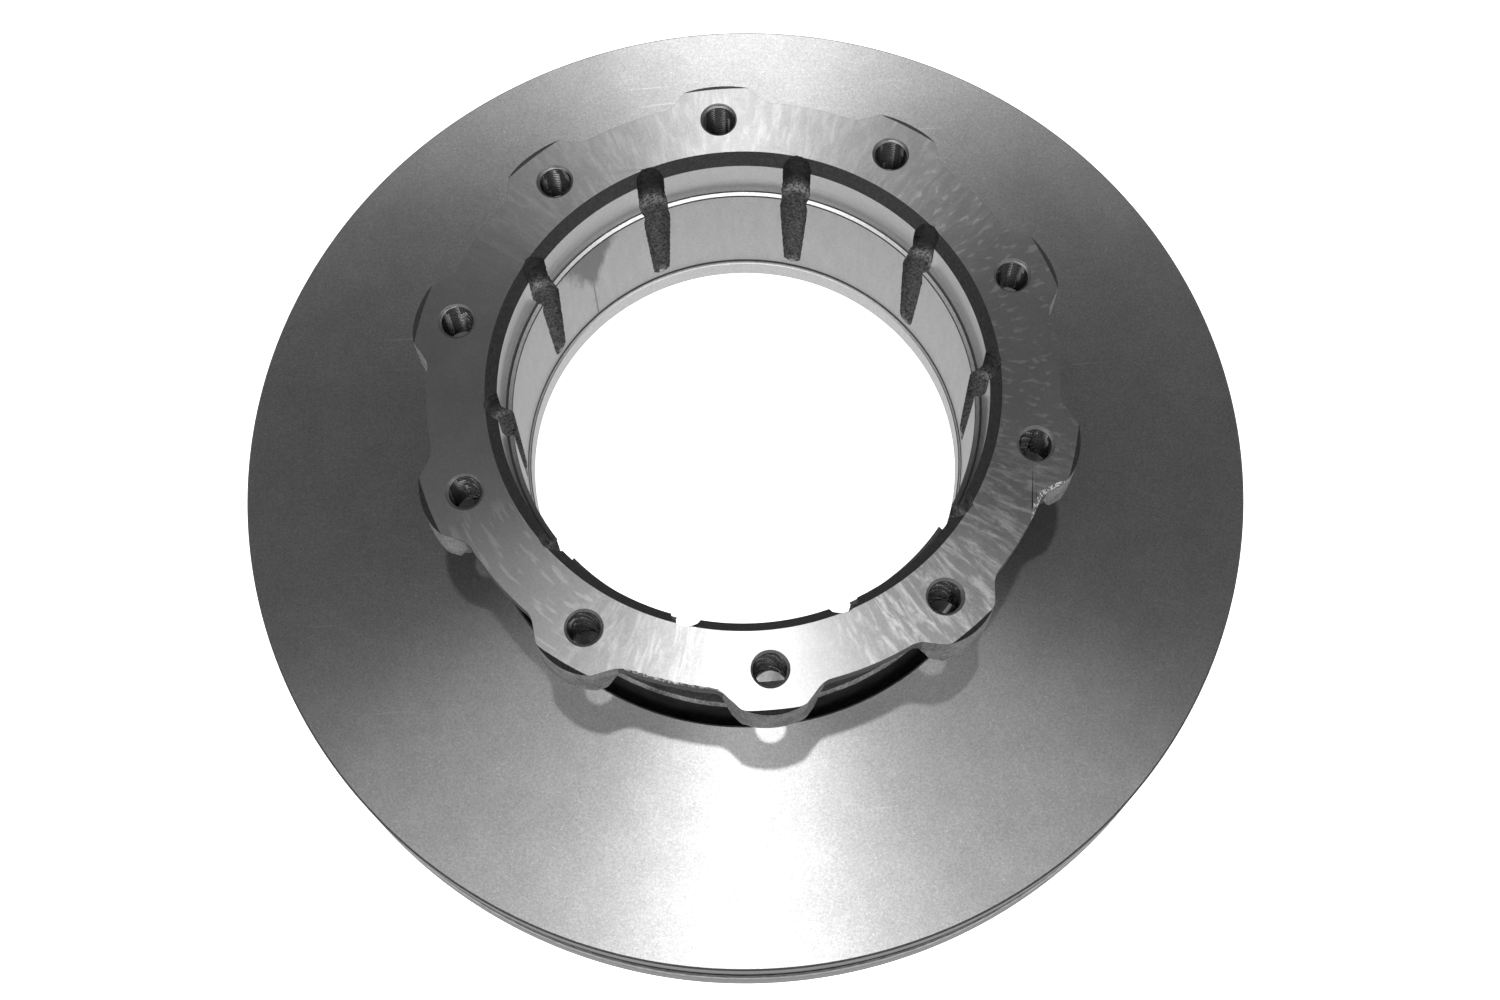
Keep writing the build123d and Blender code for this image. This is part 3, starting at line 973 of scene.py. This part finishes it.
class Recipe:
    """Builds one material's nodes with short calls."""

    def __init__(self, name):
        self.material = bpy.data.materials.new(name)
        self.material.use_nodes = True
        self.tree = self.material.node_tree
        self.shader = self.tree.nodes["Principled BSDF"]
        self.shader.distribution = "GGX"

    def node(self, kind, inputs=None, **settings):
        made = self.tree.nodes.new(kind)
        for key, value in settings.items():
            setattr(made, key, value)
        for key, value in (inputs or {}).items():
            self.put(made.inputs[key], value)
        return made

    def put(self, socket, value):
        if isinstance(value, bpy.types.NodeSocket):
            self.tree.links.new(value, socket)
        else:
            socket.default_value = value

    def math(self, operation, a, b=0.0):
        return self.node("ShaderNodeMath", {0: a, 1: b}, operation=operation).outputs[0]

    def plus(self, a, b):
        return self.math("ADD", a, b)

    def times(self, a, b):
        return self.math("MULTIPLY", a, b)

    def spread(self, value, low, high, to_low, to_high):
        """Maps a value from one range onto another, and stops at its ends."""
        keys = {"Value": value, "From Min": low, "From Max": high, "To Min": to_low, "To Max": to_high}
        return self.node("ShaderNodeMapRange", keys).outputs["Result"]

    def place(self):
        return self.node("ShaderNodeTexCoord").outputs["Object"]

    def coordinate(self, axis):
        """One object coordinate, in metres."""
        return self.node("ShaderNodeSeparateXYZ", {"Vector": self.place()}).outputs[axis]

    def stretched(self, scale):
        """Object coordinates, scaled by axis."""
        keys = {"Vector": self.place(), "Scale": scale}
        return self.node("ShaderNodeMapping", keys).outputs["Vector"]

    def round_coordinates(self):
        """Radius and height in metres and the angle in radians, for marks that follow the turning."""
        parts = self.node("ShaderNodeSeparateXYZ", {"Vector": self.place()}).outputs
        flat = self.node("ShaderNodeCombineXYZ", {"X": parts["X"], "Y": parts["Y"]}).outputs[0]
        radius = self.node("ShaderNodeVectorMath", {0: flat}, operation="LENGTH").outputs["Value"]
        angle = self.math("ARCTAN2", parts["Y"], parts["X"])
        return radius, angle, parts["Z"]

    def noise(self, vector, scale, detail=2.0, rough=0.5, distortion=0.0):
        keys = {
            "Vector": vector,
            "Scale": scale,
            "Detail": detail,
            "Roughness": rough,
            "Distortion": distortion,
        }
        return self.node("ShaderNodeTexNoise", keys).outputs["Fac"]

    def turned_grain(self):
        """Fine grain, drawn out round the bore."""
        return self.noise(self.stretched((1.0, 1.0, 3.0)), 800.0, 3.0, 0.65)

    def round_grid(self, radius, angle, per_radius, per_angle):
        """Coordinates along the radius and round the axis, each with its own scale."""
        keys = {"X": self.times(radius, per_radius), "Y": self.times(angle, per_angle)}
        return self.node("ShaderNodeCombineXYZ", keys).outputs[0]

    def band(self, value, low, high, soft):
        """1 between two limits of a value, fading out over a soft border."""
        fade_in = self.spread(value, low - soft, low, 0.0, 1.0)
        fade_out = self.spread(value, high, high + soft, 1.0, 0.0)
        return self.times(fade_in, fade_out)

    def grey(self, value):
        """A value as a neutral colour."""
        return self.node("ShaderNodeCombineXYZ", {"X": value, "Y": value, "Z": value}).outputs[0]

    def surface(self, colour, roughness, **sockets):
        colour = colour if isinstance(colour, tuple) else self.grey(colour)
        sockets |= {"Base_Color": colour, "Roughness": roughness}
        for key, value in sockets.items():
            self.put(self.shader.inputs[key.replace("_", " ")], value)

    def bump(self, height, distance, strength=1.0):
        keys = {"Height": height, "Distance": distance, "Strength": strength}
        made = self.node("ShaderNodeBump", keys)
        self.put(self.shader.inputs["Normal"], made.outputs["Normal"])

    def turned_lay(self, amount, rotation):
        """Fine circular tool marks: the shine spreads across them."""
        self.put(self.shader.inputs["Anisotropic"], amount)
        self.put(self.shader.inputs["Anisotropic Rotation"], rotation)
        tangent = self.node("ShaderNodeTangent", direction_type="RADIAL", axis="Z")
        self.put(self.shader.inputs["Tangent"], tangent.outputs[0])


def friction_iron():
    """Fine-turned face: even grain, and faint long scratches."""
    m = Recipe("friction_iron")
    place = m.place()
    grain = m.noise(place, 1500.0, 3.0, 0.75)
    cloud = m.noise(place, 55.0, 3.0, 0.6)
    tone = m.spread(grain, 0.32, 0.68, 0.38, 0.62)
    tone = m.times(tone, m.spread(cloud, 0.3, 0.7, 0.94, 1.06))
    scratch = m.noise(m.stretched((16.0, 420.0, 1.0)), 1.0, 2.0, 0.5, 0.3)
    tone = m.plus(tone, m.spread(scratch, 0.7, 0.78, 0.0, 0.16))
    sparkle = m.noise(place, 1900.0, 1.0, 0.5)
    tone = m.plus(tone, m.spread(sparkle, 0.71, 0.77, 0.0, 0.4))
    m.surface(tone, 0.497, Metallic=1.0)
    m.turned_lay(0.95, 0.25)
    m.bump(grain, 0.00001)
    return m.material


def face_iron():
    """Turned flange face, mostly even, with feathery scuffs in a few places, and painted shade that
    darkens it towards the back.
    """
    m = Recipe("face_iron")
    radius, angle, _ = m.round_coordinates()
    place = m.place()
    mottle = m.noise(place, 70.0, 4.0, 0.6)
    grain = m.noise(place, 1300.0, 3.0, 0.7)
    even = m.spread(mottle, 0.3, 0.7, 0.44, 0.50)
    tone = m.plus(even, m.spread(grain, 0.3, 0.7, -0.05, 0.05))
    rays = m.round_grid(radius, angle, 75.0, 34.0)
    feather = m.noise(rays, 1.0, 5.0, 0.7, 0.6)
    bearing = m.plus(angle, m.times(m.math("SUBTRACT", mottle, 0.5), 0.5))
    right = m.band(bearing, -1.15, -0.45, 0.2)
    left = m.band(bearing, -2.15, -1.75, 0.15)
    rows = m.round_grid(radius, angle, 420.0, 9.0)
    dash = m.spread(m.noise(rows, 1.0, 2.0, 0.4), 0.56, 0.62, 0.0, 0.13)
    dash = m.times(dash, m.band(angle, -2.72, -2.22, 0.05))
    flecks = m.round_grid(radius, angle, 190.0, 50.0)
    fleck = m.spread(m.noise(flecks, 1.0, 2.0, 0.4, 0.4), 0.58, 0.68, 0.0, 0.2)
    dash = m.plus(dash, m.times(fleck, m.band(angle, -0.5, 0.75, 0.15)))
    back = m.times(m.band(bearing, 0.6, 2.4, 0.4), 0.3)
    patch = m.math("MAXIMUM", m.math("MAXIMUM", right, m.times(left, 0.4)), back)
    scuff = m.times(m.spread(feather, 0.46, 0.64, -0.06, 0.34), patch)
    tone = m.plus(m.plus(tone, scuff), dash)
    # painted shade: the face darkens towards the back
    tone = m.times(tone, m.spread(m.coordinate("Y"), -0.09, 0.09, 1.0, 0.87))
    m.surface(tone, 0.468, Metallic=1.0)
    m.turned_lay(0.88, 0.25)
    m.bump(grain, 0.00002)
    return m.material


def bore_iron(name, tone, roughness, metallic=0.8):
    """Plain turned iron."""
    m = Recipe(name)
    grain = m.turned_grain()
    m.surface(m.spread(grain, 0.3, 0.7, tone * 0.82, tone * 1.18), roughness, Metallic=metallic)
    return m.material


def register_iron(name, tone, metallic, side_shade):
    """Turned steps of the bore, with painted shade: darker to the front, and to the sides by the factor
    given last.
    """
    m = Recipe(name)
    shaded_tone = m.spread(m.turned_grain(), 0.3, 0.7, tone * 0.85, tone * 1.15)
    aside = m.math("ABSOLUTE", m.coordinate("X"))
    # painted shade to the sides
    shaded_tone = m.times(shaded_tone, m.spread(aside, 0.04, 0.085, 1.0, side_shade))
    # painted shade to the front
    shaded_tone = m.times(shaded_tone, m.spread(m.coordinate("Y"), -0.045, 0.02, 0.25, 1.0))
    m.surface(shaded_tone, 0.45, Metallic=metallic)
    return m.material


def stained_bore():
    """Long bore: a fine seam down one side, under a dark stain that narrows downwards."""
    m = Recipe("stained_bore")
    _, angle, height = m.round_coordinates()
    grain = m.turned_grain()
    smear = m.noise(m.stretched((1.0, 1.0, 0.25)), 260.0, 4.0, 0.6)
    tone = m.spread(grain, 0.3, 0.7, 0.41, 0.57)
    tone = m.times(tone, m.spread(smear, 0.3, 0.7, 0.94, 1.06))
    aside = m.math("ABSOLUTE", m.math("SUBTRACT", angle, SEAM_ANGLE))
    ragged = m.plus(aside, m.times(m.math("SUBTRACT", smear, 0.5), 0.12))
    width = m.spread(height, STAIN_FOOT * MM, LEDGE_Z * MM, 0.0, 0.17)
    stain = m.spread(m.math("SUBTRACT", ragged, width), -0.05, 0.01, 0.62, 0.0)
    line = m.spread(aside, 0.002, 0.006, 0.55, 0.0)
    seam = m.times(line, m.band(height, 0.057, 0.108, 0.002))
    dark = m.math("SUBTRACT", 1.0, m.math("MAXIMUM", stain, seam))
    m.surface(m.times(tone, dark), 0.45, Metallic=0.8)
    return m.material


def floor_iron():
    """Bottom of a tapped hole: painted light near the plane of X = 0, painted shade away from it."""
    m = Recipe("floor_iron")
    grain = m.noise(m.place(), 900.0, 3.0, 0.6)
    painted_light = m.spread(m.math("ABSOLUTE", m.coordinate("X")), 0.01, 0.03, 0.32, 0.03)
    m.surface(m.times(painted_light, m.spread(grain, 0.3, 0.7, 0.85, 1.15)), 0.3, Metallic=1.0)
    return m.material


def rim_iron(name, low, high, metallic=0.9):
    """Outer rim, with faint lines round it."""
    m = Recipe(name)
    lines = m.noise(m.stretched((1.0, 1.0, 9.0)), 300.0, 3.0, 0.6)
    m.surface(m.spread(lines, 0.3, 0.7, low, high), 0.45, Metallic=metallic)
    return m.material


def chamfer_iron(name, tone, shine):
    """Dark turned edge; shine is its specular level. It also gives the rim's painted shade."""
    m = Recipe(name)
    grain = m.noise(m.place(), 900.0, 3.0, 0.6)
    dark = m.spread(grain, 0.3, 0.7, tone * 0.6, tone * 1.4)
    m.surface(dark, 0.45, Metallic=0.0, Specular_IOR_Level=shine)
    return m.material


def burr_iron():
    """Torn bright metal."""
    m = Recipe("burr_iron")
    torn = m.noise(m.place(), 900.0, 3.0, 0.7)
    m.surface(m.spread(torn, 0.45, 0.6, 0.15, 0.85), 0.4, Metallic=1.0)
    m.bump(torn, 0.0003)
    return m.material


def cast_iron(name, low, high, grain=0.00035):
    """Rough cast skin between two tones; grain is the depth of its pits in metres."""
    m = Recipe(name)
    place = m.place()
    patch = m.noise(place, 90.0, 4.0, 0.6)
    pits = m.noise(place, 1000.0, 4.0, 0.7)
    both = m.plus(m.times(patch, 0.4), m.times(pits, 0.6))
    m.surface(m.spread(both, 0.38, 0.62, low, high), 0.6, Metallic=0.35)
    m.bump(pits, grain)
    return m.material


def groove_iron():
    """Cast skin of a groove: painted shade makes it nearly black at the top, painted light makes it
    lighter where it bends, and it is lighter below.
    """
    m = Recipe("groove_iron")
    place = m.place()
    pits = m.noise(place, 900.0, 4.0, 0.75)
    _, _, height = m.round_coordinates()
    # painted shade at the top of the groove
    upper = m.spread(height, 0.118, 0.124, 1.0, 0.2)
    from_bend = m.math("ABSOLUTE", m.math("SUBTRACT", height, 0.1145))
    # painted light where the groove bends and faces up
    bend_light = m.spread(from_bend, 0.0006, 0.003, 2.3, 1.0)
    tone = m.spread(pits, 0.4, 0.62, 0.02, 0.20)
    tone = m.times(m.times(tone, upper), bend_light)
    m.surface(tone, 0.55, Metallic=0.1, Specular_IOR_Level=0.25)
    m.bump(pits, 0.0005)
    return m.material


def hidden_iron():
    """Faces on a zone border, inside the casting."""
    m = Recipe("border_iron")
    m.surface(m.spread(m.noise(m.place(), 500.0), 0.3, 0.7, 0.3, 0.4), 0.6, Metallic=0.7)
    return m.material


MATERIALS = {
    "friction": friction_iron(),
    "face": face_iron(),
    "bore": stained_bore(),
    "register": register_iron("register_iron", 0.62, 0.8, 1.0),
    "lip": bore_iron("lip_iron", 0.6, 0.4),
    "ledge": register_iron("ledge_iron", 0.6, 1.0, 0.4),
    "ledge_step": chamfer_iron("step_iron", 0.04, 0.3),
    "bore_chamfer": chamfer_iron("lead_in_iron", 0.03, 0.28),
    "mouth": bore_iron("mouth_iron", 0.25, 0.45),
    "bevel": bore_iron("bevel_iron", 0.3, 0.45),
    "rim": rim_iron("rim_iron", 0.06, 0.2, 0.0),
    "near_rim": rim_iron("near_rim_iron", 0.03, 0.10, 0.2),
    # painted shade in the rim's vent gap
    "rim_shade": chamfer_iron("rim_shade_iron", 0.01, 0.05),
    # painted highlight on the far plate's rounded edge
    "rim_edge": rim_iron("rim_highlight_iron", 0.3, 0.6),
    "dark_bevel": chamfer_iron("rim_bevel_iron", 0.05, 0.3),
    # painted shade on the thread's flanks and painted light on its crests
    "thread": bore_iron("shaded_thread_iron", 0.03, 0.4, 1.0),
    "crest": bore_iron("lit_crest_iron", 0.2, 0.4, 1.0),
    "hole_floor": floor_iron(),
    "turned_chamfer": chamfer_iron("chamfer_iron", 0.02, 0.05),
    "burr": burr_iron(),
    "cast": cast_iron("cast_iron", 0.03, 0.30),
    "groove": groove_iron(),
    "vane": cast_iron("vane_iron", 0.05, 0.25, 0.0006),
    # very dark cast: painted shade on the valley walls and the root under the flange, also on the
    # flange's small broken edge
    "web_edge": cast_iron("shade_dark_cast_iron", 0.02, 0.08),
    "shaded": cast_iron("shaded_iron", 0.02, 0.10),
    # painted light: bounce light on a band of the root's shoulder
    "shoulder": cast_iron("lit_shoulder_iron", 0.10, 0.5),
    "hidden": hidden_iron(),
}


# ---- stage

TURN = math.radians(-4.303)             # the camera's bearing round the disc's axis
MIX_A, MIX_B, MIX_RESULT = 6, 7, 2      # the colour sockets of a Mix node


def camera():
    """Camera above and in front of the flange, at the reference view's angle."""
    data = bpy.data.cameras.new("camera")
    data.sensor_width = 36
    data.lens = 50.825
    data.clip_end = 50
    elevation, roll, distance = 1.23454535, -0.0139646, 0.910557
    target = Vector((0.0019728, -0.015948, 0.045))
    back = Vector((0, -math.cos(elevation), math.sin(elevation)))
    level = Vector((1, 0, 0))
    upright = back.cross(level)
    right = math.cos(roll) * level + math.sin(roll) * upright
    up = math.cos(roll) * upright - math.sin(roll) * level
    place = Matrix((right, up, back)).transposed().to_4x4()
    place.translation = target + back * distance
    obj = added("camera", data)
    obj.matrix_world = Matrix.Rotation(TURN, 4, "Z") @ place
    bpy.context.scene.camera = obj


def lamp(name, place, size, power):
    """A round soft light that faces the disc."""
    data = bpy.data.lights.new(name, "AREA")
    data.shape = "DISK"
    data.size = size
    data.energy = power
    obj = added(name, data)
    turned = Matrix.Rotation(TURN, 4, "Z") @ Vector(place)
    facing = (turned - Vector((0, 0, DISC_T * MM))).to_track_quat("Z", "Y")
    obj.matrix_world = Matrix.Translation(turned) @ facing.to_matrix().to_4x4()


def floor():
    """A plain pale floor, bright enough to read as one even white sheet."""
    mesh = bpy.data.meshes.new("floor")
    half = 6.0
    corners = [(-half, -half, 0), (half, -half, 0), (half, half, 0), (-half, half, 0)]
    mesh.from_pydata(corners, [], [(0, 1, 2, 3)])
    obj = added("floor", mesh)
    obj.location.z = -0.0005
    m = Recipe("floor_white")
    seen = m.node("ShaderNodeLightPath").outputs["Is Camera Ray"]
    glow = m.spread(seen, 0.0, 1.0, 0.34, 1.2)
    white = (1.0, 1.0, 1.0, 1.0)
    m.surface((0.8, 0.8, 0.8, 1.0), 0.9, Emission_Color=white, Emission_Strength=glow)
    mesh.materials.append(m.material)


def surroundings():
    """White behind the floor for the camera, dim for everything else."""
    world = bpy.data.worlds.new("surroundings")
    bpy.context.scene.world = world
    world.use_nodes = True
    tree = world.node_tree
    background = tree.nodes["Background"]
    seen = tree.nodes.new("ShaderNodeLightPath")
    mix = tree.nodes.new("ShaderNodeMix")
    mix.data_type = "RGBA"
    tree.links.new(seen.outputs["Is Camera Ray"], mix.inputs["Factor"])
    mix.inputs[MIX_A].default_value = (0.075, 0.075, 0.075, 1.0)
    mix.inputs[MIX_B].default_value = (1.0, 1.0, 1.0, 1.0)
    tree.links.new(mix.outputs[MIX_RESULT], background.inputs["Color"])


near_friction_plate()
far_friction_plate()
vanes()
neck_root()
neck_barrel()
mounting_flange()
camera()
lamp("key", (-0.02, -0.10, 4.1), 0.10, 60.0)
lamp("front_fill", (0.0, -1.3, 2.3), 1.2, 23.0)
lamp("left_fill", (-1.7, -1.2, 2.1), 2.0, 19.0)
lamp("right_fill", (1.7, -1.2, 2.1), 2.0, 19.0)
lamp("overhead", (0.0, 0.2, 2.2), 1.6, 0.5)
floor()
surroundings()
bpy.context.scene.view_settings.view_transform = "Standard"
